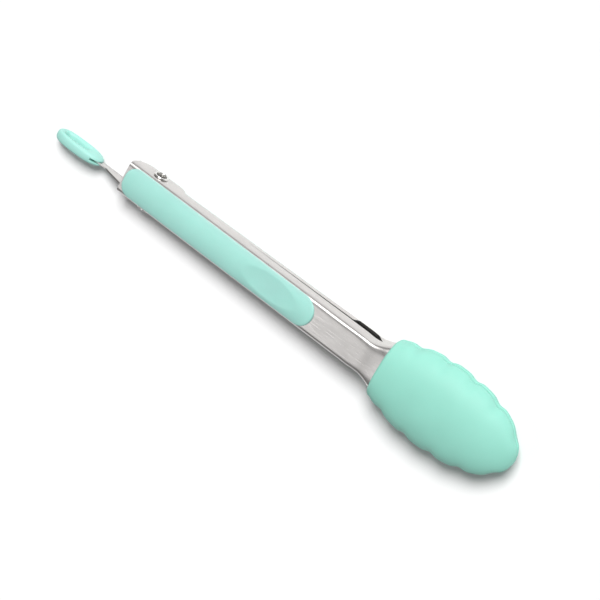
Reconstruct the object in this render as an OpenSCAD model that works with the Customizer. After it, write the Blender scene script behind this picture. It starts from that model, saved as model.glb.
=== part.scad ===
// Spring loaded kitchen tongs: two pressed steel arms, silicone heads and grip pads, and a sliding lock tab.
// The origin is the centre of the pivot rivet. +X runs to the tips, +Y along the rivet, +Z to the upper arm.
// The arms are drawn closed and locked, with the lock tab pulled out.

/* [Arms] */
// Thickness of the steel sheet
sheet_t = 0.9; // [0.8:0.05:0.95]
// Outside width of the upper arm's channel
upper_w = 17.2; // [17.2:0.1:17.6]
// Outside width of the lower arm's channel at the pivot
lower_w = 15.0; // [14.8:0.1:15]
// Outside width of the lower arm's channel at the neck
lower_neck_w = 16.5; // [15.8:0.1:17]
// Outside radius of the bend between face and flange
bend_r = 2.5; // [2.2:0.1:2.8]
// Height of each arm's face above the pivot's centre
face_h = 6; // [6:0.1:6.4]
// Rise of each arm's face along its length, in mm for each mm
face_rise = 0.01; // [0.008:0.001:0.012]
// Length of each arm behind the pivot
arm_back = 14.5; // [14:0.1:15]

/* [Heads] */
// Distance from the pivot to the rear edge of the heads
head_start = 138.3; // [136:0.1:140]
// Distance from the pivot to the tips
head_tip = 213; // [212:0.5:216]
// Half of the greatest width across the heads
head_half_w = 21.4; // [21:0.1:23]
// Greatest height of one head above the middle plane
head_h = 11.5; // [11:0.1:12.5]
// Depth of the scallops along the rim
scallop_depth = 0.9; // [0.5:0.1:1.2]
// Distance between neighbouring scallops
scallop_pitch = 14.7; // [14:0.1:15.4]

/* [Grip pads] */
// Rear end of the grip pads, from the pivot
pad_start = -13.7; // [-13.9:0.1:-13]
// Front end of the grip pads, from the pivot
pad_end = 100; // [96:1:104]
// Height of the pad's crown above the steel
pad_proud = 1.1; // [0.9:0.1:1.4]
// Centre of the thumb dent, from the pivot
dent_x = 75; // [70:1:78]

/* [Pivot] */
// Radius of the rivet's through hole
bore_r = 2.3; // [2.2:0.05:2.35]
// Outside radius of the rivet's tube
tube_r = 2.8; // [2.75:0.01:2.82]
// Radius of the rivet's two rolled heads
rivet_head_r = 3.7; // [3.5:0.1:4]
// Outside radius of the spacer sleeve
sleeve_r = 3.3; // [3.2:0.05:3.35]
// Wire diameter of the torsion spring
wire_d = 1.3; // [1.2:0.05:1.3]
// Mean radius of the spring's coil
coil_r = 4.15; // [4.1:0.01:4.2]

/* [Lock tab] */
// Travel of the tab from pulled out to pushed in
lock_travel = 11; // [10:0.5:11]
// Length of the pull loop
loop_len = 27.2; // [25:0.1:28]
// Height of the pull loop
loop_h = 11; // [11:0.1:13]
// Thickness of the pull loop
loop_t = 5; // [5:0.1:6]

/* [Hidden] */
$fn = 64;

// Arms
arm_tilt = atan(face_rise);
loft_start = 30;       // behind this the arm is a plain bent channel, past it a shell that tapers and flares
loft_tongue = 2;       // length of the shell's thin tongue inside the channel's sheet
flange_gap = 0.1;      // height of the upper flange's edge above the middle plane
lower_flange_z = 1.9;  // depth of the lower flange's edge below the middle plane
neck_start = 124;
neck_end = 141;
notch_z = 5.6;         // depth of the lower flange's edge in its notch behind the neck
notch_start = 114;
notch_end = 127;
steel_end = 197;       // front end of the blade inside the silicone
blade_share = 0.64;    // height of the blade's edge, as a share of the height of its middle
corner_r = 1;          // plan radius of the arm's two rear corners
ear_z = 4.2;           // depth of the upper ears past the middle plane
hole_r = tube_r + 0.05;
peg_xs = [42, 64, 90];
peg_r = 1.9;
peg_head_r = 2.9;
peg_head_t = 0.8;

// Heads
rim_gap = 0.25;        // half of the gap between the two rims
head_mid = 168;        // where the heads are widest
crown_x = 160;         // where the heads are highest
head_start_half_w = 14.9;
head_start_h = 9.7;
skin = 2.6;            // silicone over the outside of the blade
cup_wall = 2.2;        // steel and silicone between the blade's outside and the cup
cup_tip = 207.5;
around = 28;           // steps across a lofted section

// Pivot
inner_y = lower_w / 2 - sheet_t;
rivet_gap = 0.06;      // side play under the rivet's heads
rivet_rim = 0.95;      // height of the rolled heads
turns = 6.5;
coil_pitch = 1.45;
coil_y0 = -3.58;
leg_x = 28;

// Lock tab
plate_t = 0.9;
plate_y = -inner_y + 0.8;   // the plate's outer side, clear of the bend inside the lower arm
plate_bottom = -4.4;
plate_top = 4.4;
plate_gap = 0.3;       // least room between the plate's top and the upper arm
plate_front = 9;
slot_r = sleeve_r + 0.15;
slope_start = -3;
slope_end = -27;
slope_low = -0.9;      // top of the plate where it enters the loop
open_angle = 20;       // between the arms with the tab pushed in
tang_end = -38.8;
loop_front = -30.3;
loop_y = plate_y + plate_t / 2;
loop_z = (plate_bottom + slope_low) / 2;
loop_hole_w = 5;
loop_hole_len = 13;
loop_hole_x = -47;

mint = [0.68, 0.91, 0.86];
steel = [0.82, 0.81, 0.8];

function ease(a, b, x) = let (t = min(1, max(0, (x - a) / (b - a)))) t * t * (3 - 2 * t);
function mix(a, b, t) = a + (b - a) * t;
function fall(x, from, to) = sqrt(max(0, 1 - pow(max(0, x - from) / (to - from), 2.4)));

// Smooth outline of a head, half width and height at x
function head_w(x) = x < head_mid
    ? head_half_w - (head_half_w - head_start_half_w) * pow((head_mid - x) / (head_mid - head_start), 1.9)
    : head_half_w * fall(x, head_mid, head_tip);
function head_top(x) = x < crown_x
    ? head_h - (head_h - head_start_h) * pow((crown_x - x) / (crown_x - head_start), 2)
    : head_h * fall(x, crown_x, head_tip);

// Steel section at x of the upper or lower arm: half width, face height, squareness and flange edge
function channel_w(x, upper) = upper ? upper_w / 2
    : mix(lower_w, lower_neck_w, min(1, max(0, (x - 20) / 90))) / 2;
function blade_w(x) = x < head_mid ? head_w(x) - skin
    : (head_half_w - skin) * fall(x, head_mid, head_tip - skin);
function blade_top(x) = x < crown_x ? head_top(x) - skin
    : (head_h - skin) * fall(x, crown_x, head_tip - skin);
function steel_w(x, upper) = mix(channel_w(x, upper), blade_w(x), ease(neck_start, neck_end, x));
function steel_top(x) = mix(face_h + face_rise * x, blade_top(x), ease(128, 150, x));
function squareness(x) = mix(8, 2.3, ease(neck_start, 146, x));
function upper_edge(x) = mix(flange_gap, blade_share * steel_top(x), ease(head_start, 147, x));
function lower_edge(x) = x < notch_end
    ? mix(lower_flange_z, notch_z, ease(notch_start, notch_start + 3, x))
    : mix(mix(notch_z, flange_gap, ease(notch_end, notch_end + 6, x)),
        blade_share * steel_top(x), ease(head_start, 147, x));

// One open half section from its +Y edge over the top to its -Y edge, as [y, z] points
function half_section(w, top, n, edge) =
    let (low = max(edge + 0.3, 0.6))
    let (start = asin(pow(low / top, n / 2)))
    concat([[w * pow(1 - pow(max(0, edge) / top, n), 1 / n), edge]],
        [for (i = [0 : around]) let (a = start + (180 - 2 * start) * i / around)
            [w * sign(cos(a)) * pow(abs(cos(a)), 2 / n), top * pow(sin(a), 2 / n)]],
        [[-w * pow(1 - pow(max(0, edge) / top, n), 1 / n), edge]]);

// Closed ring at x: the outer half section, then the inner one back
function shell_ring(x, outer, inner) =
    concat([for (p = outer) [x, p[0], p[1]]],
        [for (i = [len(inner) - 1 : -1 : 0]) [x, inner[i][0], inner[i][1]]]);

// Solid through a row of closed rings whose points pair up outside to inside
module shell_loft(rings) {
    m = len(rings[0]);
    h = m / 2;
    last = (len(rings) - 1) * m;
    sides = [for (s = [0 : len(rings) - 2], i = [0 : m - 1])
        [s * m + i, (s + 1) * m + i, (s + 1) * m + (i + 1) % m, s * m + (i + 1) % m]];
    back = [for (i = [0 : h - 2]) [m - 2 - i, m - 1 - i, i, i + 1]];
    front = [for (f = back) [for (k = [3 : -1 : 0]) f[k] + last]];
    polyhedron([for (r = rings) each r], concat(sides, back, front), convexity = 8);
}

function steel_ring(x, upper, margin) =
    let (w = steel_w(x, upper), top = steel_top(x), n = squareness(x))
    let (edge = upper ? upper_edge(x) : lower_edge(x))
    shell_ring(x, half_section(w - margin, top - margin, n, edge + margin),
        half_section(w - sheet_t + margin, top - sheet_t + margin, n, edge + margin));

// Tapering and flaring front part of an arm, drawn face up
module arm_shell(upper) {
    tongue = [for (x = [loft_start - loft_tongue, loft_start + 0.1]) steel_ring(x, upper, 0.3)];
    stations = concat([loft_start + 0.4, 60, 90, 110], [for (x = [notch_start : 1 : notch_start + 3]) x],
        [121, 124, 126], [for (x = [128 : 1.5 : 147.5]) x], [for (x = [150 : 6.5 : steel_end]) x]);
    shell_loft(concat(tongue, [for (x = stations) steel_ring(x, upper, 0)]));
}

module round_top(half_w, top, r) {
    low = -20;
    translate([-half_w, low]) square([2 * half_w, top - r - low]);
    translate([-half_w + r, low]) square([2 * (half_w - r), top - low]);
    for (side = [-1, 1]) translate([side * (half_w - r), top - r]) circle(r);
}

// Solid under the face and between the outsides of the flanges, tilted with the arm
module channel_block(half_w, inset, length) {
    rotate([0, -arm_tilt, 0]) translate([-arm_back - 5, 0, 0]) rotate([90, 0, 90])
        linear_extrude(length) round_top(half_w - inset, face_h - inset, bend_r - inset);
}

module across(half_y) {
    rotate([90, 0, 0]) linear_extrude(2 * half_y, center = true) children();
}

// Plan outline with round rear corners
module rear_plan(half_w, front, r) {
    linear_extrude(60, center = true) {
        translate([-arm_back + r, -half_w]) square([front + arm_back - r, 2 * half_w]);
        translate([-arm_back, -half_w + r]) square([2 * r, 2 * (half_w - r)]);
        for (side = [-1, 1]) translate([-arm_back + r, side * (half_w - r)]) circle(r);
    }
}

module pin_hole(r) {
    rotate([90, 0, 0]) cylinder(h = 40, r = r, center = true);
}

module peg_holes() {
    for (x = peg_xs) translate([x, 0, 0]) cylinder(h = 20, r = peg_r);
}

module upper_side() {
    rear_r = 6.2;
    front_r = 5;
    translate([-arm_back, flange_gap]) square([arm_back + loft_start, 12]);
    translate([-arm_back, rear_r - ear_z]) square([arm_back, 12]);
    translate([-arm_back + rear_r, -ear_z]) square([arm_back - rear_r + 9.5, 12]);
    translate([-arm_back + rear_r, rear_r - ear_z]) circle(rear_r);
    translate([9.5, front_r - ear_z]) circle(front_r);
}

// Side outline of the lower arm drawn face up: its ears fall away behind, to clear the upper arm as it opens
module lower_side() {
    polygon([[-arm_back, 12], [-arm_back, 1.2], [-0.5, -3.9], [8, -3.9], [9.8, -3.4], [14.5, -0.6], [19, 1.6],
        [22, lower_flange_z], [loft_start, lower_flange_z], [loft_start, 12]]);
}

module arm_body(half_w) {
    intersection() {
        difference() {
            channel_block(half_w, 0, 60);
            channel_block(half_w, sheet_t, 60);
        }
        across(20) children();
        rear_plan(half_w, loft_start, corner_r);
    }
}

module upper_arm() {
    color(steel) difference() {
        union() {
            arm_body(upper_w / 2) upper_side();
            arm_shell(true);
        }
        pin_hole(hole_r);
        peg_holes();
    }
}

module lower_arm() {
    color(steel) mirror([0, 0, 1]) difference() {
        union() {
            arm_body(lower_w / 2) lower_side();
            arm_shell(false);
        }
        pin_hole(hole_r);
        peg_holes();
    }
}

// Pad drawn face up: a crowned strip over the face and bends, a thumb dent, and pegs with heads inside the arm
module grip_pad(arm_half_w, half_w) {
    crown_r = 21.8;
    dent_r = 140;
    dent_depth = 0.85;
    rear_r = 5;
    color(mint) rotate([0, -arm_tilt, 0]) {
        difference() {
            intersection() {
                linear_extrude(30) {
                    translate([pad_start + rear_r, -half_w])
                        square([pad_end - pad_start - rear_r - half_w, 2 * half_w]);
                    translate([pad_start, -half_w + rear_r]) square([2 * rear_r, 2 * (half_w - rear_r)]);
                    for (side = [-1, 1])
                        translate([pad_start + rear_r, side * (half_w - rear_r)]) circle(rear_r);
                    translate([pad_end - half_w, 0]) circle(half_w);
                }
                translate([-20, 0, face_h + pad_proud - crown_r]) rotate([0, 90, 0])
                    cylinder(h = 140, r = crown_r, $fn = 128);
            }
            rotate([0, arm_tilt, 0]) channel_block(arm_half_w, 0, 140);
            translate([dent_x, 0, face_h + pad_proud - dent_depth + dent_r]) rotate([90, 0, 0])
                cylinder(h = 40, r = dent_r, center = true, $fn = 256);
        }
        for (x = peg_xs) translate([x, 0, 0]) {
            translate([0, 0, face_h - sheet_t - 0.2]) cylinder(h = sheet_t + 0.4, r = peg_r);
            translate([0, 0, face_h - sheet_t - peg_head_t]) cylinder(h = peg_head_t, r = peg_head_r);
        }
    }
}

module upper_grip_pad() {
    grip_pad(upper_w / 2, 7.65);
}

module lower_grip_pad() {
    mirror([0, 0, 1]) grip_pad(lower_w / 2, 6.3);
}

// Scallop at x, 0 at a peak and 1 in a valley
function valley(x) = pow(0.5 + 0.5 * cos(360 * (x - head_start - 10.2) / scallop_pitch), 3);

function head_ring(x, shrink) =
    let (w = max(1.5, head_w(x) - shrink), top = max(1.2, head_top(x) - shrink))
    let (cup = fall(x, head_mid, cup_tip) > 0 ? 1 : 0)
    let (cup_w = x < head_mid ? steel_w(x, true) - cup_wall
        : max(w * 0.5, (head_half_w - skin - cup_wall) * fall(x, head_mid, cup_tip)))
    let (cup_top = x < crown_x ? steel_top(x) - cup_wall
        : (head_h - skin - cup_wall) * fall(x, crown_x, cup_tip))
    let (deep = scallop_depth * valley(x) * ease(head_start, head_start + 7, x) * ease(head_tip, head_tip - 4, x))
    shell_ring(x,
        [for (i = [0 : around]) let (a = 180 * i / around)
            [(w - deep * pow(abs(cos(a)), 4)) * cos(a), rim_gap + (top - rim_gap) * sin(a)]],
        [for (i = [0 : around]) let (a = 180 * i / around)
            [cup_w * cos(a), rim_gap + max(0.2, cup_top * cup - rim_gap) * sin(a)]]);

// Silicone head drawn face up: a scalloped dome over a cup that is open below and behind
module head() {
    edge = [[0, 1.3], [0.25, 0.6], [0.8, 0.2], [1.6, 0]];
    tip_steps = 14;
    rings = concat([for (e = edge) head_ring(head_start + e[0], e[1])],
        [for (x = [head_start + 3.1 : 1.84 : 190]) head_ring(x, 0)],
        [for (i = [1 : tip_steps]) head_ring(mix(190, head_tip, sin(90 * i / tip_steps)), 0)]);
    color(mint) shell_loft(rings);
}

module upper_head() {
    head();
}

module lower_head() {
    mirror([0, 0, 1]) head();
}

module pivot_rivet() {
    half = upper_w / 2 + rivet_gap;
    color(steel) rotate([-90, 0, 0]) rotate_extrude() difference() {
        union() {
            translate([0, -half - rivet_rim]) square([tube_r, 2 * (half + rivet_rim)]);
            for (side = [-1, 1]) translate([0, side * (half + rivet_rim / 2)]) {
                translate([0, -rivet_rim / 2]) square([rivet_head_r - rivet_rim / 2, rivet_rim]);
                translate([rivet_head_r - rivet_rim / 2, 0]) circle(rivet_rim / 2);
            }
        }
        translate([-1, -20]) square([1 + bore_r, 40]);
    }
}

module spacer_sleeve() {
    color(steel) rotate([90, 0, 0]) difference() {
        cylinder(h = 2 * inner_y - 0.1, r = sleeve_r, center = true);
        cylinder(h = 20, r = hole_r, center = true);
    }
}

// Centre line of the spring: a leg along the lower arm, the coil, and a leg along the upper arm
function coil_point(a) = [-coil_r * sin(a), coil_y0 + coil_pitch * a / 360, -coil_r * cos(a)];
coil_step = 18;
coil_path = concat(
    [[leg_x, coil_y0, -coil_r - 0.35], [leg_x / 2, coil_y0, -coil_r - 0.15], [2.5, coil_y0, -coil_r]],
    [for (a = [0 : coil_step : 360 * turns]) coil_point(a)],
    [[2.5, coil_y0 + coil_pitch * turns, coil_r], [leg_x / 2, coil_y0 + coil_pitch * turns, coil_r + 0.15],
     [leg_x, coil_y0 + coil_pitch * turns, coil_r + 0.35]]);

// Round wire swept along the path, each ring standing square to it and level with the pivot's axis
module torsion_spring() {
    sides = 8;
    count = len(coil_path);
    rings = [for (i = [0 : count - 1])
        let (t = coil_path[min(i + 1, count - 1)] - coil_path[max(i - 1, 0)])
        let (n = cross(t, [0, 1, 0]) / norm(cross(t, [0, 1, 0])))
        let (b = cross(t, n) / norm(cross(t, n)))
        [for (k = [0 : sides - 1]) let (a = 360 * k / sides)
            coil_path[i] + wire_d / 2 * (n * cos(a) + b * sin(a))]];
    skin_faces = [for (s = [0 : count - 2], k = [0 : sides - 1])
        [s * sides + k, s * sides + (k + 1) % sides, (s + 1) * sides + (k + 1) % sides, (s + 1) * sides + k]];
    first = [for (k = [sides - 1 : -1 : 0]) k];
    last = [for (k = [0 : sides - 1]) (count - 1) * sides + k];
    color([0.7, 0.7, 0.7]) polyhedron([for (r = rings) each r], concat(skin_faces, [first, last]), convexity = 12);
}

// Height at x of the upper arm's inner face, with the arms open by an angle
function web_z(x, angle) = x * tan(angle + arm_tilt) + (face_h - sheet_t) / cos(angle + arm_tilt);

// Top of the plate at x, as high as the upper arm leaves it while the tab goes in and the arms open together
function lock_top(x) = min(plate_top,
    min([for (a = [0 : open_angle]) web_z(x + lock_travel * a / open_angle, a)]) - plate_gap);

// Plate on edge: a slot round the sleeve, and a top that falls away behind so that the upper arm can open over it
module lock_plate() {
    color(steel) translate([0, plate_y + plate_t, 0]) rotate([90, 0, 0]) linear_extrude(plate_t) difference() {
        polygon(concat([[plate_front, plate_bottom + 1.5], [plate_front - 1.5, plate_bottom],
            [tang_end, plate_bottom], [tang_end, slope_low], [slope_end, slope_low]],
            [for (x = [slope_end + 1.5 : 1.5 : slope_start]) [x, lock_top(x)]],
            [[plate_front - 1.5, plate_top], [plate_front, plate_top - 1.5]]));
        circle(slot_r);
        translate([-lock_travel, 0]) circle(slot_r);
        translate([-lock_travel, -slot_r]) square([lock_travel, 2 * slot_r]);
    }
}

// Oval loop over the plate's tang, with a long hole to hang it by
module pull_loop() {
    a = loop_len / 2;
    b = loop_h / 2;
    steps = 48;
    hole_r2 = loop_hole_w / 2;
    color(mint) difference() {
        translate([loop_front - a, loop_y + loop_t / 2, loop_z]) rotate([90, 0, 0]) linear_extrude(loop_t)
            polygon([for (i = [0 : steps - 1]) let (t = 360 * i / steps)
                [a * sign(cos(t)) * pow(abs(cos(t)), 0.85), b * sign(sin(t)) * pow(abs(sin(t)), 0.85)]]);
        translate([loop_hole_x, 0, loop_z]) rotate([90, 0, 0]) linear_extrude(40, center = true) {
            for (side = [-1, 1]) translate([side * (loop_hole_len / 2 - hole_r2), 0]) circle(hole_r2);
            square([loop_hole_len - 2 * hole_r2, 2 * hole_r2], center = true);
        }
        translate([tang_end, plate_y, plate_bottom]) cube([20, plate_t, slope_low - plate_bottom]);
    }
}

upper_arm();
lower_arm();
upper_grip_pad();
lower_grip_pad();
upper_head();
lower_head();
pivot_rivet();
spacer_sleeve();
torsion_spring();
lock_plate();
pull_loop();
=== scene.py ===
"""Spring loaded kitchen tongs with silicone heads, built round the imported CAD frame.

Shapes are worked out in millimetres in the CAD's own frame: +X runs to the tips, +Y along the rivet and
+Z to the upper arm.
"""

import math

import bmesh
import bpy
from mathutils import Matrix, Vector


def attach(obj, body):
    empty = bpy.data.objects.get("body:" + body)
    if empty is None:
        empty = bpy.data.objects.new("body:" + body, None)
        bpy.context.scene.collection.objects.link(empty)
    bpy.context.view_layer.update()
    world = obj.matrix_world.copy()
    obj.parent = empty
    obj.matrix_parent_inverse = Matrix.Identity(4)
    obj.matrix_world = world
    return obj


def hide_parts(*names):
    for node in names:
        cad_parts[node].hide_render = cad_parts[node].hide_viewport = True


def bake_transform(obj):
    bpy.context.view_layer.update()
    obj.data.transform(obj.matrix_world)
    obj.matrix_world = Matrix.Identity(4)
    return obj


MM = 0.001
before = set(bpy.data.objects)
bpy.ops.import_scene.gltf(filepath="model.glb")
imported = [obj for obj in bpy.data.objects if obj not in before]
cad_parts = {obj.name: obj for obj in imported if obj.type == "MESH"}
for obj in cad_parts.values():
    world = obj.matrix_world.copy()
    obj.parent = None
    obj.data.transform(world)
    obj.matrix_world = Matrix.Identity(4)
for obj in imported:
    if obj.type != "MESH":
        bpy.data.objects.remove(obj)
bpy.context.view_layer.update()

# ---------------------------------------------------------------- sizes in mm
SHEET = 0.9
UPPER_W = 17.2
LOWER_W, LOWER_NECK_W = 15.0, 16.5
BEND_R = 2.5
FACE_H, FACE_RISE = 6.0, 0.01
ARM_BACK = 14.5
FLANGE_GAP = 0.1
LOWER_FLANGE = 1.9
NOTCH, NOTCH_START, NOTCH_END = 5.6, 114.0, 127.0
NECK_START = 124.0
STEEL_END = 197.0
BLADE_SHARE = 0.64
EAR_Z = 4.2
HEAD_START, HEAD_TIP = 138.3, 212.3
HEAD_MID, CROWN_X = 168.0, 160.0
HEAD_HALF, HEAD_START_HALF = 21.4, 14.9
HEAD_H, HEAD_START_H = 11.5, 9.7
SKIN, CUP_WALL, CUP_TIP = 2.6, 2.2, 207.5
RIM_GAP = 0.25
SCALLOP, PITCH = 1.3, 14.7
RIB_DEPTH, RIB_PITCH, RIB_X = 0.35, 6.0, 150.0
LOWER_HEAD_SHIFT = 0.4
PAD_START, PAD_END, PAD_PROUD = -13.7, 100.0, 1.1
UPPER_PAD_HALF, LOWER_PAD_HALF = 7.65, 6.3
DENT_X = 75.0
PEG_XS = (42.0, 64.0, 90.0)
BORE_R, TUBE_R, RIVET_HEAD_R, RIVET_RIM = 2.3, 2.8, 3.7, 0.95
RIVET_GAP, HOLE_PLAY = 0.06, 0.05
SLEEVE_R = 3.3
WIRE, COIL_R, TURNS, COIL_PITCH, COIL_Y0, LEG_X = 1.3, 4.15, 6.5, 1.45, -3.58, 28.0
LOOP_FRONT, LOOP_LEN, LOOP_H, LOOP_T = -30.3, 27.2, 11.0, 5.0
LOOP_Y, LOOP_Z = -5.35, -2.65
HOLE_X, HOLE_LEN, HOLE_W = -47.0, 13.0, 5.0
SLIT_HALF, SLIT_DEPTH = 0.62, 5.0


def ease(a, b, x):
    """Smooth step from 0 at a to 1 at b."""
    t = min(1.0, max(0.0, (x - a) / (b - a)))
    return t * t * (3 - 2 * t)


def mix(a, b, t):
    return a + (b - a) * t


def fall(x, start, end):
    """1 up to start, then a round fall to 0 at end."""
    return math.sqrt(max(0.0, 1 - (max(0.0, x - start) / (end - start)) ** 2.4))


def head_w(x):
    """Half width of a head."""
    if x < HEAD_MID:
        back = (HEAD_MID - x) / (HEAD_MID - HEAD_START)
        return HEAD_HALF - (HEAD_HALF - HEAD_START_HALF) * back**1.9
    return HEAD_HALF * fall(x, HEAD_MID, HEAD_TIP)


def head_top(x):
    """Height of a head above the middle plane."""
    if x < CROWN_X:
        back = (CROWN_X - x) / (CROWN_X - HEAD_START)
        return HEAD_H - (HEAD_H - HEAD_START_H) * back**2
    return HEAD_H * fall(x, CROWN_X, HEAD_TIP)


def blade_w(x):
    if x < HEAD_MID:
        return head_w(x) - SKIN
    return (HEAD_HALF - SKIN) * fall(x, HEAD_MID, HEAD_TIP - SKIN)


def blade_top(x):
    if x < CROWN_X:
        return head_top(x) - SKIN
    return (HEAD_H - SKIN) * fall(x, CROWN_X, HEAD_TIP - SKIN)


def channel_w(x, upper):
    if upper:
        return UPPER_W / 2
    return mix(LOWER_W, LOWER_NECK_W, min(1.0, max(0.0, (x - 20) / 90))) / 2


def steel_w(x, upper):
    return mix(channel_w(x, upper), blade_w(x), ease(NECK_START, 141, x))


def steel_top(x):
    return mix(FACE_H + FACE_RISE * x, blade_top(x), ease(128, 150, x))


# ---------------------------------------------------------------- mesh helpers
def make(name, points, faces, looks, body, sharp=40.0, replaces=()):
    """A mesh piece from points in mm, closed and turned outward, riding on a body."""
    bm = bmesh.new()
    verts = [bm.verts.new(Vector(p) * MM) for p in points]
    for face in faces:
        corners = [verts[i] for i in face]
        if len(set(corners)) == len(corners):
            try:
                bm.faces.new(corners)
            except ValueError:
                pass
    bmesh.ops.remove_doubles(bm, verts=bm.verts, dist=2e-6)
    bmesh.ops.dissolve_degenerate(bm, edges=bm.edges, dist=1e-7)
    bmesh.ops.recalc_face_normals(bm, faces=bm.faces)
    return finish_mesh(name, bm, looks, body, sharp, replaces)


def finish_mesh(name, bm, looks, body, sharp=40.0, replaces=()):
    limit = math.radians(sharp)
    for f in bm.faces:
        f.smooth = True
    for e in bm.edges:
        if len(e.link_faces) == 2 and e.calc_face_angle(0.0) > limit:
            e.smooth = False
    mesh = bpy.data.meshes.new(name)
    bm.to_mesh(mesh)
    bm.free()
    obj = bpy.data.objects.new(name, mesh)
    bpy.context.scene.collection.objects.link(obj)
    obj.data.materials.append(looks)
    if body:
        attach(obj, body)
    if replaces:
        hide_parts(*replaces)
    return obj


def bevel(obj, width, segments=2, angle=40.0):
    mod = obj.modifiers.new("soft_edges", "BEVEL")
    mod.width = width * MM
    mod.segments = segments
    mod.limit_method = "ANGLE"
    mod.angle_limit = math.radians(angle)
    mod.harden_normals = False
    mod.use_clamp_overlap = True
    return mod


def apply_modifiers(obj):
    graph = bpy.context.evaluated_depsgraph_get()
    mesh = bpy.data.meshes.new_from_object(obj.evaluated_get(graph), depsgraph=graph)
    old = obj.data
    obj.modifiers.clear()
    obj.data = mesh
    bpy.data.meshes.remove(old)


def cut(obj, cutters):
    """Takes the cutter meshes out of obj."""
    for cutter in cutters:
        mod = obj.modifiers.new("cut", "BOOLEAN")
        mod.operation = "DIFFERENCE"
        mod.solver = "EXACT"
        mod.object = cutter
    apply_modifiers(obj)
    for cutter in cutters:
        mesh = cutter.data
        bpy.data.objects.remove(cutter)
        bpy.data.meshes.remove(mesh)


def cutter(bm):
    bmesh.ops.recalc_face_normals(bm, faces=bm.faces)
    mesh = bpy.data.meshes.new("cutter")
    bm.to_mesh(mesh)
    bm.free()
    obj = bpy.data.objects.new("cutter", mesh)
    bpy.context.scene.collection.objects.link(obj)
    return obj


def pin_cutter(r, length, x=0.0, z=0.0):
    bm = bmesh.new()
    turn = Matrix.Translation(Vector((x, 0, z)) * MM) @ Matrix.Rotation(math.pi / 2, 4, "X")
    bmesh.ops.create_cone(bm, cap_ends=True, segments=64, radius1=r * MM, radius2=r * MM,
                          depth=length * MM, matrix=turn)
    return cutter(bm)


def box_cutter(lo, hi):
    bm = bmesh.new()
    centre = (Vector(lo) + Vector(hi)) / 2 * MM
    size = (Vector(hi) - Vector(lo)) * MM
    matrix = Matrix.Translation(centre) @ Matrix.Diagonal((*size, 1.0))
    bmesh.ops.create_cube(bm, size=1.0, matrix=matrix)
    return cutter(bm)


def grid_faces(rows, columns, wrap_rows=False, wrap_columns=False, base=0):
    faces = []
    for i in range(rows if wrap_rows else rows - 1):
        for j in range(columns if wrap_columns else columns - 1):
            a, b = i * columns + j, i * columns + (j + 1) % columns
            c, d = ((i + 1) % rows) * columns + (j + 1) % columns, ((i + 1) % rows) * columns + j
            faces.append((base + a, base + b, base + c, base + d))
    return faces


def lathe(profile, steps=72):
    """Closed (radius, y) outline turned about the Y axis."""
    points, n = [], len(profile)
    for s in range(steps):
        a = 2 * math.pi * s / steps
        points += [(r * math.cos(a), y, r * math.sin(a)) for r, y in profile]
    return points, grid_faces(steps, n, wrap_rows=True, wrap_columns=True)


# ---------------------------------------------------------------- materials
def base_material(name, colour, metallic, roughness):
    mat = bpy.data.materials.new(name)
    mat.use_nodes = True
    nodes, links = mat.node_tree.nodes, mat.node_tree.links
    shader = nodes["Principled BSDF"]
    shader.inputs["Base Color"].default_value = (*colour, 1)
    shader.inputs["Metallic"].default_value = metallic
    shader.inputs["Roughness"].default_value = roughness
    coords = nodes.new("ShaderNodeTexCoord")
    return mat, nodes, links, shader, coords


def noise(nodes, links, coords, stretch, scale, detail=3.0, roughness=0.5):
    """Noise in the object's own metres, stretched along the axes."""
    mapping = nodes.new("ShaderNodeMapping")
    mapping.inputs["Scale"].default_value = stretch
    links.new(coords.outputs["Object"], mapping.inputs["Vector"])
    tex = nodes.new("ShaderNodeTexNoise")
    tex.inputs["Scale"].default_value = scale
    tex.inputs["Detail"].default_value = detail
    tex.inputs["Roughness"].default_value = roughness
    links.new(mapping.outputs["Vector"], tex.inputs["Vector"])
    return tex


def spread(nodes, links, tex, low, high):
    """The noise's middle range mapped to low...high."""
    span = nodes.new("ShaderNodeMapRange")
    span.inputs["From Min"].default_value = 0.3
    span.inputs["From Max"].default_value = 0.7
    span.inputs["To Min"].default_value = low
    span.inputs["To Max"].default_value = high
    links.new(tex.outputs["Fac"], span.inputs["Value"])
    return span


def tint(nodes, links, tex, dark, light):
    ramp = nodes.new("ShaderNodeValToRGB")
    ramp.color_ramp.elements[0].position = 0.3
    ramp.color_ramp.elements[1].position = 0.7
    ramp.color_ramp.elements[0].color = (*dark, 1)
    ramp.color_ramp.elements[1].color = (*light, 1)
    links.new(tex.outputs["Fac"], ramp.inputs["Fac"])
    return ramp


def bumps(nodes, links, shader, layers):
    """Chained bump nodes, one for each (texture, strength, depth in mm)."""
    last = None
    for tex, strength, depth in layers:
        bump = nodes.new("ShaderNodeBump")
        bump.inputs["Strength"].default_value = strength
        bump.inputs["Distance"].default_value = depth * MM
        links.new(tex.outputs["Fac"], bump.inputs["Height"])
        if last:
            links.new(last.outputs["Normal"], bump.inputs["Normal"])
        last = bump
    links.new(last.outputs["Normal"], shader.inputs["Normal"])


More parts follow.
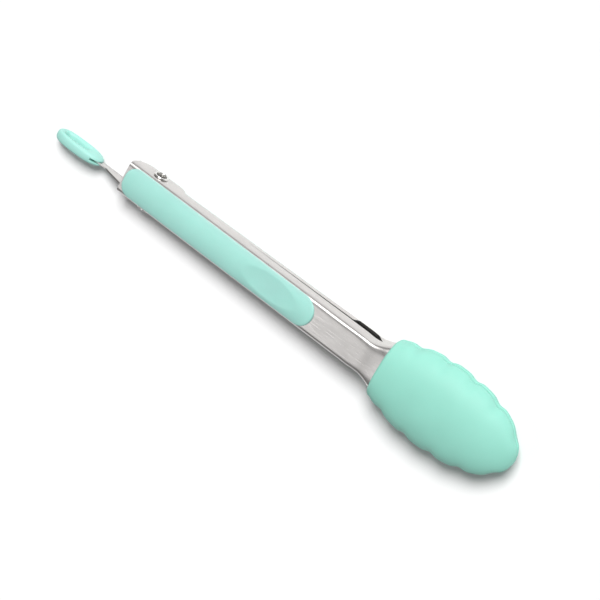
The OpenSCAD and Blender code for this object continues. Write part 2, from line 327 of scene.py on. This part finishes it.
def silicone(name, colour, roughness, grain):
    mat, nodes, links, shader, coords = base_material(name, colour, 0.0, roughness)
    shader.inputs["Specular IOR Level"].default_value = 0.42
    shader.inputs["Subsurface Weight"].default_value = 0.2
    shader.inputs["Subsurface Radius"].default_value = (0.6, 1.0, 0.9)
    shader.inputs["Subsurface Scale"].default_value = 0.0012
    cloud = noise(nodes, links, coords, (1, 1, 1), 60.0, 4.0)
    fine = noise(nodes, links, coords, (1, 1, 1), 2600.0, 2.0)
    shade = tint(nodes, links, cloud, [c * 0.975 for c in colour], [min(1, c * 1.02) for c in colour])
    links.new(shade.outputs["Color"], shader.inputs["Base Color"])
    rough = spread(nodes, links, cloud, roughness - 0.04, roughness + 0.05)
    links.new(rough.outputs["Result"], shader.inputs["Roughness"])
    bumps(nodes, links, shader, [(fine, grain, 0.03)])
    return mat


def brushed(name, colour, roughness, along, strength):
    """Steel with fine brushing along one axis, and broad soft unevenness from pressing."""
    mat, nodes, links, shader, coords = base_material(name, colour, 1.0, roughness)
    stretch = [1.0, 1.0, 1.0]
    stretch[along] = 0.02
    lines = noise(nodes, links, coords, stretch, 5200.0, 2.0, 0.6)
    cloud = noise(nodes, links, coords, (1, 1, 1), 90.0, 3.0)
    shade = tint(nodes, links, cloud, [c * 0.95 for c in colour], [min(1, c * 1.03) for c in colour])
    links.new(shade.outputs["Color"], shader.inputs["Base Color"])
    rough = spread(nodes, links, lines, roughness - 0.07, roughness + 0.08)
    links.new(rough.outputs["Result"], shader.inputs["Roughness"])
    bumps(nodes, links, shader, [(cloud, 0.08, 0.05), (lines, strength, 0.01)])
    return mat


STEEL = brushed("satin_steel", (0.66, 0.64, 0.625), 0.33, 0, 0.15)
# Painted shade: a dark, dull steel for the arms' inward faces, standing in for the shade inside the channels.
STEEL_INSIDE_PAINTED_SHADE = brushed("steel_inside_painted_shade", (0.16, 0.155, 0.15), 0.5, 0, 0.12)
RIVET_STEEL = brushed("turned_steel", (0.78, 0.77, 0.75), 0.24, 1, 0.06)
WIRE_STEEL = brushed("drawn_wire", (0.6, 0.6, 0.6), 0.35, 1, 0.09)
PAD_MINT = silicone("pad_silicone", (0.34, 0.66, 0.59), 0.5, 0.25)
HEAD_MINT = silicone("head_silicone", (0.28, 0.635, 0.53), 0.6, 0.15)


# ---------------------------------------------------------------- steel arms
EAR_REAR_R, EAR_FRONT_R, EAR_FRONT_X = 8.6, 5.0, 9.5
LOWER_EAR = [(-14.5, 1.2), (-0.5, -3.9), (8, -3.9), (9.8, -3.4), (14.5, -0.6), (19, 1.6), (22, LOWER_FLANGE)]


def upper_edge(x):
    centre = -ARM_BACK + EAR_REAR_R
    if x < centre:
        return EAR_REAR_R - EAR_Z - math.sqrt(max(0, EAR_REAR_R**2 - (x - centre) ** 2))
    if x < EAR_FRONT_X:
        return -EAR_Z
    if x < EAR_FRONT_X + EAR_FRONT_R:
        round_z = EAR_FRONT_R - EAR_Z - math.sqrt(EAR_FRONT_R**2 - (x - EAR_FRONT_X) ** 2)
        return min(round_z, FLANGE_GAP)
    return mix(FLANGE_GAP, BLADE_SHARE * steel_top(x), ease(HEAD_START, 147, x))


def lower_edge(x):
    if x < LOWER_EAR[-1][0]:
        for (x0, z0), (x1, z1) in zip(LOWER_EAR, LOWER_EAR[1:]):
            if x <= x1:
                return mix(z0, z1, (x - x0) / (x1 - x0))
    if x < NOTCH_END:
        return mix(LOWER_FLANGE, NOTCH, ease(NOTCH_START, NOTCH_START + 3, x))
    closed = mix(NOTCH, FLANGE_GAP, ease(NOTCH_END, NOTCH_END + 6, x))
    return mix(closed, BLADE_SHARE * steel_top(x), ease(HEAD_START, 147, x))


def steps(a, b, n):
    """n even steps from a towards b, without b itself."""
    return [a + (b - a) * i / n for i in range(n)]


def channel_points(half, top, r, edge):
    """Half section from the flange's edge up the bend to the middle of the face.

    Points that would lie below the edge sit on it.
    """
    low = top - r
    rim_y = half if edge <= low else half - r + math.sqrt(max(0, r * r - (edge - low) ** 2))
    points = [(half, mix(min(edge, low), low, i / 6)) for i in range(6)]
    points += [(half - r + r * math.cos(a), low + r * math.sin(a)) for a in steps(0, math.pi / 2, 9)]
    points = [p if p[1] >= edge else (rim_y, edge) for p in points]
    return points + [(mix(half - r, 0, i / 8), top) for i in range(9)]


def steel_section(x, upper, inset):
    half, top = steel_w(x, upper) - inset, steel_top(x) - inset
    edge = upper_edge(x) if upper else lower_edge(x)
    square = mix(8, 2.3, ease(NECK_START, 146, x))
    roundness = ease(112, 130, x)
    side = []
    for y, z in channel_points(half, top, BEND_R - inset, edge):
        power = (abs(y / half) ** square + abs(z / top) ** square) ** (1 / square)
        scale = mix(1, 1 / max(power, 0.2), roundness)
        side.append((y * scale, z * scale))
    return side + [(-y, z) for y, z in reversed(side[:-1])]


def steel_arm(name, upper, body):
    """A bent channel that flares into a curved blade, with the rivet's hole through its ears; its inward faces
    get a dark steel that is painted shade for the inside of the channel.
    """
    centre = -ARM_BACK + EAR_REAR_R
    rear = [centre - EAR_REAR_R * math.cos(a) for a in steps(0, math.pi / 2, 12)]
    if upper:
        front = [EAR_FRONT_X + EAR_FRONT_R * math.sin(a) for a in steps(0, 1.42, 10)]
        xs = rear + steps(centre, EAR_FRONT_X, 8) + front + [14.46, 16, 20, 25]
    else:
        xs = rear + steps(centre, -0.5, 4) + steps(-0.5, 8, 4) + steps(8, 9.8, 3)
        xs += steps(9.8, 22, 10) + [22, 25]
    xs += steps(30, 108, 14) + steps(108, 150, 56) + steps(150, STEEL_END, 18) + [STEEL_END]
    sign = 1 if upper else -1
    points = []
    for x in xs:
        outer = steel_section(x, upper, 0)
        inner = steel_section(x, upper, SHEET)
        points += [(x, y, sign * z) for y, z in outer + inner[::-1]]
    count = len(points) // len(xs)
    faces = grid_faces(len(xs), count, wrap_columns=True)
    half, last = count // 2, (len(xs) - 1) * count
    for i in range(half - 1):
        quad = (i, i + 1, count - 2 - i, count - 1 - i)
        faces.append(quad)
        faces.append(tuple(last + q for q in quad[::-1]))
    arm = make(name, points, faces, STEEL, None, sharp=50)
    cut(arm, [pin_cutter(TUBE_R + HOLE_PLAY, 40)])
    bm = bmesh.new()
    bm.from_mesh(arm.data)
    bpy.data.objects.remove(arm)
    bmesh.ops.remove_doubles(bm, verts=bm.verts, dist=2e-6)
    # Faces turned inward get the second material, the dark painted-shade steel.
    for f in bm.faces:
        middle = f.calc_center_median()
        if f.normal.dot(Vector((0, middle.y, middle.z)).normalized()) < -0.3:
            f.material_index = 1
    arm = finish_mesh(name, bm, STEEL, body, 40, [name.replace("_steel", "")])
    arm.data.materials.append(STEEL_INSIDE_PAINTED_SHADE)
    bevel(arm, 0.14, 2, 50)


steel_arm("upper_arm_steel", True, "upper")
steel_arm("lower_arm_steel", False, "lower")


# ---------------------------------------------------------------- grip pads
def grip_pad(name, upper, body):
    """A crowned strip over the face and bends, with a thumb dent, and pegs with heads inside the arm."""
    half = UPPER_PAD_HALF if upper else LOWER_PAD_HALF
    crown_r, rear_r, skirt = 21.8, 6.2, 0.9
    dent_across, dent_along, dent_depth = 160.0, 140.0, 0.88
    turn = math.atan(FACE_RISE)
    nose = PAD_END - half

    def half_at(x):
        """Half width of the pad's plan outline."""
        if x < PAD_START + rear_r:
            return half - rear_r + math.sqrt(max(0, rear_r**2 - (x - PAD_START - rear_r) ** 2))
        return half if x < nose else math.sqrt(max(0, half**2 - (x - nose) ** 2))

    def inside(x, y):
        """Distance in from the plan outline."""
        y = abs(y)
        if x > nose:
            return half - math.hypot(x - nose, y)
        if x < PAD_START + rear_r:
            if y > half - rear_r:
                return rear_r - math.hypot(x - PAD_START - rear_r, y - half + rear_r)
            return x - PAD_START
        return half - y

    def steel_z(x, y):
        """Height of the steel under the pad."""
        flat = channel_w(x, upper) - BEND_R
        if abs(y) <= flat:
            return FACE_H
        return FACE_H - BEND_R + math.sqrt(max(0, BEND_R**2 - (abs(y) - flat) ** 2))

    def crown(x, y):
        """Height of the crown, with the dent blended in."""
        top = FACE_H + PAD_PROUD - crown_r + math.sqrt(crown_r**2 - y * y)
        dent = FACE_H + PAD_PROUD - dent_depth
        dent += (x - DENT_X) ** 2 / (2 * dent_along) + y * y / (2 * dent_across)
        soft = 0.05
        return (top + dent - math.sqrt((top - dent) ** 2 + soft**2)) / 2

    xs = [PAD_START + rear_r * (1 - math.cos(a)) for a in steps(0.0, math.pi / 2, 14)]
    xs += steps(PAD_START + rear_r, nose, 84)
    xs += [nose + half * math.sin(a) for a in steps(0, math.pi / 2, 18)] + [PAD_END]
    across = 44
    top_points, low_points = [], []
    for x in xs:
        for j in range(across + 1):
            s = math.sin((j / across - 0.5) * math.pi)
            y = half_at(x) * mix(s, (j / across - 0.5) * 2, 0.35)
            base = steel_z(x, y)
            depth = min(1, max(0, inside(x, y)) / skirt)
            z = base + (crown(x, y) - base) * math.sqrt(max(0, 1 - (1 - depth) ** 2))
            top_points.append((x, y, z))
            low_points.append((x, y, base - 0.02))
    n = across + 1
    faces = grid_faces(len(xs), n) + [f[::-1] for f in grid_faces(len(xs), n, base=len(top_points))]
    shift, last = len(top_points), (len(xs) - 1) * n
    for j in range(across):
        faces.append((j, j + 1, shift + j + 1, shift + j))
        faces.append((last + j + 1, last + j, shift + last + j, shift + last + j + 1))
    for i in range(len(xs) - 1):
        a, b = i * n, (i + 1) * n
        faces.append((b, a, shift + a, shift + b))
        faces.append((a + across, b + across, shift + b + across, shift + a + across))
    points = top_points + low_points
    peg = [(0.0, -0.95), (2.2, -0.9), (2.75, -0.6), (2.9, -0.2), (2.75, 0.02), (0.0, 0.02)]
    outline = [(r, FACE_H - SHEET + z) for r, z in peg]
    for px in PEG_XS:
        start = len(points)
        for s in range(32):
            a = 2 * math.pi * s / 32
            points += [(px + r * math.cos(a), r * math.sin(a), z) for r, z in outline]
        faces += grid_faces(32, len(outline), wrap_rows=True, base=start)
    sign = 1 if upper else -1
    c, t = math.cos(turn), math.sin(turn)
    points = [(x * c - z * t, y, sign * (x * t + z * c)) for x, y, z in points]
    make(name, points, faces, PAD_MINT, body, 60, [name.replace("_silicone", "")])


grip_pad("upper_grip_pad_silicone", True, "upper")
grip_pad("lower_grip_pad_silicone", False, "lower")


# ---------------------------------------------------------------- silicone heads
def valley(x):
    """Scallop at x, 0 at a peak and 1 in a valley."""
    return (0.5 + 0.5 * math.cos(2 * math.pi * (x - HEAD_START - 10.2) / PITCH)) ** 3


def head(name, upper, body):
    """A domed cup with a scalloped rim, a rolled rear hem, a rounded lip and low gripping ribs inside."""
    hem = [(0.0, 1.5), (0.12, 0.9), (0.4, 0.45), (0.85, 0.15), (1.4, 0.0)]
    hem += [(2.0, 0.06), (2.6, 0.1), (3.4, 0.05)]
    stations = [(HEAD_START + dx, shrink) for dx, shrink in hem]
    stations += [(x, 0.0) for x in steps(HEAD_START + 4.2, 190, 62)]
    tip = 26
    stations += [(mix(190, HEAD_TIP, math.sin(math.pi / 2 * i / tip)), 0.0) for i in range(tip + 1)]
    around, lip = 60, 0.45
    sign = 1 if upper else -1
    points = []
    for x, shrink in stations:
        w, top = max(1.2, head_w(x) - shrink), max(1.0, head_top(x) - shrink)
        if x < HEAD_MID:
            cup_w = steel_w(x, True) - CUP_WALL
        else:
            cup_w = max(w * 0.5, (HEAD_HALF - SKIN - CUP_WALL) * fall(x, HEAD_MID, CUP_TIP))
        if x < CROWN_X:
            cup_top = steel_top(x) - CUP_WALL
        else:
            cup_top = (HEAD_H - SKIN - CUP_WALL) * fall(x, CROWN_X, CUP_TIP)
        deep = SCALLOP * valley(x) * ease(HEAD_START, HEAD_START + 7, x) * ease(HEAD_TIP, HEAD_TIP - 4, x)
        rib = RIB_DEPTH * (0.5 + 0.5 * math.cos(2 * math.pi * (x - RIB_X) / RIB_PITCH)) ** 2
        rib *= ease(148, 152, x) * ease(202, 196, x)
        square = mix(2.3, 2.05, ease(HEAD_START, 185, x)) if upper else 2.05
        shift = 0.0 if upper else LOWER_HEAD_SHIFT * ease(150, 172, x)
        r = min(lip, w * 0.2)
        ring = [(w - deep - r + r * math.cos(b), RIM_GAP + r - r * math.sin(b)) for b in (1.57, 1.05, 0.52)]
        for i in range(around + 1):
            a = math.pi * i / around
            c, s = math.cos(a), math.sin(a)
            reach = (w - deep * abs(c) ** 3) * math.copysign(abs(c) ** (2 / square), c)
            ring.append((reach, RIM_GAP + r + (top - RIM_GAP - r) * max(0, s) ** (2 / square)))
        ring += [(-y, z) for y, z in ring[2::-1]]
        r = min(lip, cup_w * 0.2)
        ring += [(-cup_w - r, RIM_GAP)]
        for i in range(around + 1):
            a = math.pi * (around - i) / around
            high = max(0.2, cup_top - RIM_GAP - rib)
            ring.append((cup_w * math.cos(a), RIM_GAP + high * math.sin(a)))
        ring += [(cup_w + r, RIM_GAP)]
        points += [(x, y + shift, sign * z) for y, z in ring]
    count = len(points) // len(stations)
    faces = grid_faces(len(stations), count, wrap_columns=True)
    outer = list(range(0, around + 7))
    inner = list(range(around + 7, count))[::-1]
    last = (len(stations) - 1) * count
    pairs = list(zip(outer, [inner[0], inner[0]] + inner + [inner[-1]] * 4))
    for (a, c), (b, d) in zip(pairs, pairs[1:]):
        faces.append((a, b, d, c))
        faces.append((last + c, last + d, last + b, last + a))
    make(name, points, faces, HEAD_MINT, body, 60, [name.replace("_silicone", "")])


head("upper_head_silicone", True, "upper")
head("lower_head_silicone", False, "lower")


# ---------------------------------------------------------------- pivot rivet and spacer sleeve
def rivet():
    """A hollow rivet whose two ends are rolled over, with a mouth that flares into the bore."""
    half = UPPER_W / 2 + RIVET_GAP
    bore = BORE_R + 0.12
    outline = [(bore, 0.0), (bore, half - 1.2), (bore + 0.03, half - 0.5), (bore + 0.14, half)]
    r = RIVET_RIM / 2
    centre_r, centre_y = RIVET_HEAD_R - r, half + r
    mouth_r = bore + 0.14 + r
    for a in steps(0.35, math.pi / 2, 6):
        outline.append((mouth_r - r * math.cos(a) * 0.98, centre_y + r * math.sin(a)))
    for t in (0.0, 0.5):
        dish = 0.06 * math.sin(math.pi * t)
        outline.append((mix(mouth_r, centre_r, t), centre_y + r * (1 - dish)))
    for a in steps(0, math.pi, 12):
        outline.append((centre_r + r * math.sin(a), centre_y + r * math.cos(a)))
    outline += [(centre_r, half), (TUBE_R, half), (TUBE_R, half - 0.6), (TUBE_R, 0.0)]
    outline += [(q, -y) for q, y in outline[-2:0:-1]]
    points, faces = lathe(outline, 96)
    make("pivot_rivet_rolled", points, faces, RIVET_STEEL, "lower", 50, ["pivot_rivet"])


def sleeve():
    """A short tube on the rivet between the inner ears, with small chamfers."""
    half, inner = LOWER_W / 2 - SHEET - 0.05, TUBE_R + HOLE_PLAY
    edge = 0.15
    outline = [(inner, half - edge), (inner + edge, half), (SLEEVE_R - edge, half), (SLEEVE_R, half - edge)]
    outline += [(q, -y) for q, y in reversed(outline)]
    points, faces = lathe(outline, 80)
    make("spacer_sleeve_turned", points, faces, RIVET_STEEL, "lower", 30, ["spacer_sleeve"])


rivet()
sleeve()


# ---------------------------------------------------------------- torsion spring
def spring():
    """Round wire: a leg along the lower arm, six and a half turns, and a leg along the upper arm."""
    top_y = COIL_Y0 + COIL_PITCH * TURNS
    path = [(LEG_X, COIL_Y0, -COIL_R - 0.35), (LEG_X - 0.5, COIL_Y0, -COIL_R - 0.35)]
    path += [(x, COIL_Y0, -COIL_R - 0.35 * x / LEG_X) for x in (22, 16, 10, 5, 2.5)]
    turns = int(TURNS * 36)
    for i in range(turns + 1):
        a = 2 * math.pi * i / 36
        path.append((-COIL_R * math.sin(a), COIL_Y0 + COIL_PITCH * i / 36, -COIL_R * math.cos(a)))
    path += [(x, top_y, COIL_R + 0.35 * x / LEG_X) for x in (2.5, 5, 10, 16, 22)]
    path += [(LEG_X - 0.5, top_y, COIL_R + 0.35), (LEG_X, top_y, COIL_R + 0.35)]
    path = [Vector(p) for p in path]
    sides, points = 14, []
    for i, p in enumerate(path):
        along = (path[min(i + 1, len(path) - 1)] - path[max(i - 1, 0)]).normalized()
        n = along.cross(Vector((0, 1, 0))).normalized()
        b = along.cross(n).normalized()
        r = WIRE / 2 * (0.8 if i in (0, len(path) - 1) else 1.0)
        for k in range(sides):
            a = 2 * math.pi * k / sides
            points.append(p + r * (n * math.cos(a) + b * math.sin(a)))
    faces = grid_faces(len(path), sides, wrap_columns=True)
    faces.append(tuple(range(sides)))
    faces.append(tuple((len(path) - 1) * sides + k for k in reversed(range(sides))))
    coil = make("torsion_spring_wire", points, faces, WIRE_STEEL, None, 40, ["torsion_spring"])
    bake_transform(coil)


spring()


# ---------------------------------------------------------------- lock plate
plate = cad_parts["lock_plate"]
plate.data.materials.clear()
plate.data.materials.append(STEEL)
weld = plate.modifiers.new("weld", "WELD")
weld.merge_threshold = 1e-6
bevel(plate, 0.12, 2, 30)


# ---------------------------------------------------------------- pull loop
def pull_loop():
    """A soft flattened ring with a long hole, a rounded section, and a slit where the plate goes in."""
    centre_x = LOOP_FRONT - LOOP_LEN / 2
    around, section = 96, 28
    points = []
    for i in range(around):
        t = 2 * math.pi * i / around
        c, s = math.cos(t), math.sin(t)
        out = (centre_x + LOOP_LEN / 2 * math.copysign(abs(c) ** 0.85, c),
               LOOP_H / 2 * math.copysign(abs(s) ** 0.85, s))
        straight = (HOLE_LEN - HOLE_W) / 2
        hole = (HOLE_X + math.copysign(straight * min(1, abs(c) * 1.6), c) + HOLE_W / 2 * c, HOLE_W / 2 * s)
        mid = ((out[0] + hole[0]) / 2, (out[1] + hole[1]) / 2)
        arm = ((out[0] - hole[0]) / 2, (out[1] - hole[1]) / 2)
        for k in range(section):
            a = 2 * math.pi * k / section
            u = math.copysign(abs(math.cos(a)) ** 0.8, math.cos(a))
            v = math.copysign(abs(math.sin(a)) ** 0.75, math.sin(a))
            points.append((mid[0] + arm[0] * u, LOOP_Y + LOOP_T / 2 * v, LOOP_Z + mid[1] + arm[1] * u))
    faces = grid_faces(around, section, wrap_rows=True, wrap_columns=True)
    loop = make("pull_loop_silicone", points, faces, PAD_MINT, None, 60)
    slit = box_cutter((LOOP_FRONT - SLIT_DEPTH, LOOP_Y - SLIT_HALF, -20),
                      (LOOP_FRONT + SLIT_DEPTH, LOOP_Y + SLIT_HALF, 20))
    cut(loop, [slit])
    bm = bmesh.new()
    bm.from_mesh(loop.data)
    bpy.data.objects.remove(loop)
    loop = finish_mesh("pull_loop_silicone", bm, PAD_MINT, "lock", 50, ["pull_loop"])
    bevel(loop, 0.3, 3, 50)


pull_loop()


# ---------------------------------------------------------------- floor, light and camera
FLOOR_X, FLOOR_Z, FLOOR_SLOPE = -44.0, -8.25, -0.0164


def floor():
    """A pale plane under the two places where the tongs rest: the lower head and the pull loop."""
    bm = bmesh.new()
    size = 3000.0
    corners = [(-size, -size), (size, -size), (size, size), (-size, size)]
    places = [Vector((x, y, FLOOR_Z + FLOOR_SLOPE * (x - FLOOR_X))) * MM for x, y in corners]
    bm.faces.new([bm.verts.new(place) for place in places])
    mesh = bpy.data.meshes.new("floor")
    bm.to_mesh(mesh)
    bm.free()
    obj = bpy.data.objects.new("floor", mesh)
    bpy.context.scene.collection.objects.link(obj)
    mat, _, _, shader, _ = base_material("pale_floor", (0.9, 0.9, 0.9), 0.0, 0.6)
    shader.inputs["Specular IOR Level"].default_value = 0.1
    obj.data.materials.append(mat)


def area_light(name, place, target, size, power):
    """A round soft box at a place, turned to a target."""
    data = bpy.data.lights.new(name, "AREA")
    data.shape = "DISK"
    data.size = size
    data.energy = power
    light = bpy.data.objects.new(name, data)
    light.location = Vector(place)
    light.rotation_mode = "QUATERNION"
    light.rotation_quaternion = (Vector(target) - Vector(place)).to_track_quat("-Z", "Y")
    bpy.context.scene.collection.objects.link(light)


def sun_light(name, toward, power, spread_deg):
    """Even light from one direction, as from a very large soft box."""
    data = bpy.data.lights.new(name, "SUN")
    data.energy = power
    data.angle = math.radians(spread_deg)
    light = bpy.data.objects.new(name, data)
    light.rotation_mode = "QUATERNION"
    light.rotation_quaternion = (-Vector(toward)).to_track_quat("-Z", "Y")
    bpy.context.scene.collection.objects.link(light)


def camera():
    """A view from high on the +Y side, with the tongs running down to the right."""
    azimuth, elevation, roll = math.radians(146.15), math.radians(61.6), math.radians(36.85)
    target = Vector((0.0883, 0.0009, 0.0))
    distance, lens = 1.234, 161.82
    back = Vector((math.sin(azimuth) * math.cos(elevation), -math.cos(azimuth) * math.cos(elevation),
                   math.sin(elevation)))
    along = (Vector((1, 0, 0)) - back * back.x).normalized()
    over = back.cross(along)
    right = along * math.cos(roll) + over * math.sin(roll)
    up = over * math.cos(roll) - along * math.sin(roll)
    data = bpy.data.cameras.new("camera")
    data.lens = lens
    data.sensor_width = 36
    data.clip_start, data.clip_end = 0.05, 20
    cam = bpy.data.objects.new("camera", data)
    matrix = Matrix((right, up, back)).transposed().to_4x4()
    matrix.translation = target + back * distance
    cam.matrix_world = matrix
    bpy.context.scene.collection.objects.link(cam)
    bpy.context.scene.camera = cam


floor()
camera()
sun_light("key", (0.05, 0.8, 1.0), 3.75, 24)
area_light("top", (-0.25, -0.45, 0.9), (0.09, 0, 0), 0.5, 0.85)

world = bpy.data.worlds.new("studio")
bpy.context.scene.world = world
world.use_nodes = True
world.node_tree.nodes["Background"].inputs["Color"].default_value = (1, 1, 1, 1)
world.node_tree.nodes["Background"].inputs["Strength"].default_value = 0.16
bpy.context.scene.view_settings.view_transform = "Standard"
